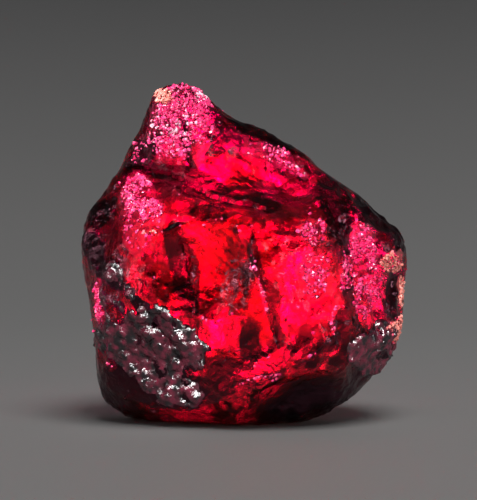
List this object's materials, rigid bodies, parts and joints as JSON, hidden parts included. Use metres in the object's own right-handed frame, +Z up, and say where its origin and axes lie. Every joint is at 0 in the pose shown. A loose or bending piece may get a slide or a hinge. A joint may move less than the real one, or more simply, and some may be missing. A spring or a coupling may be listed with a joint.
{
  "type": "rough garnet",
  "caption": "Rough red garnet, a broken piece of one clear crystal, with shell-like fractures, a narrow peak and a natural flat that it stands on.",
  "frame": {"origin": "middle of the stone's outline in plan, on the surface that it stands on", "axes": "+Z up, from the natural flat towards the peak; the broad fractured front faces -Y; +X to the right of the front"},
  "size_m": [0.0274, 0.0184, 0.0283],
  "materials": {
    "garnet": "gloss"
  },
  "bodies": {
    "root": {"garnet": "garnet"}
  },
  "joints": []
}
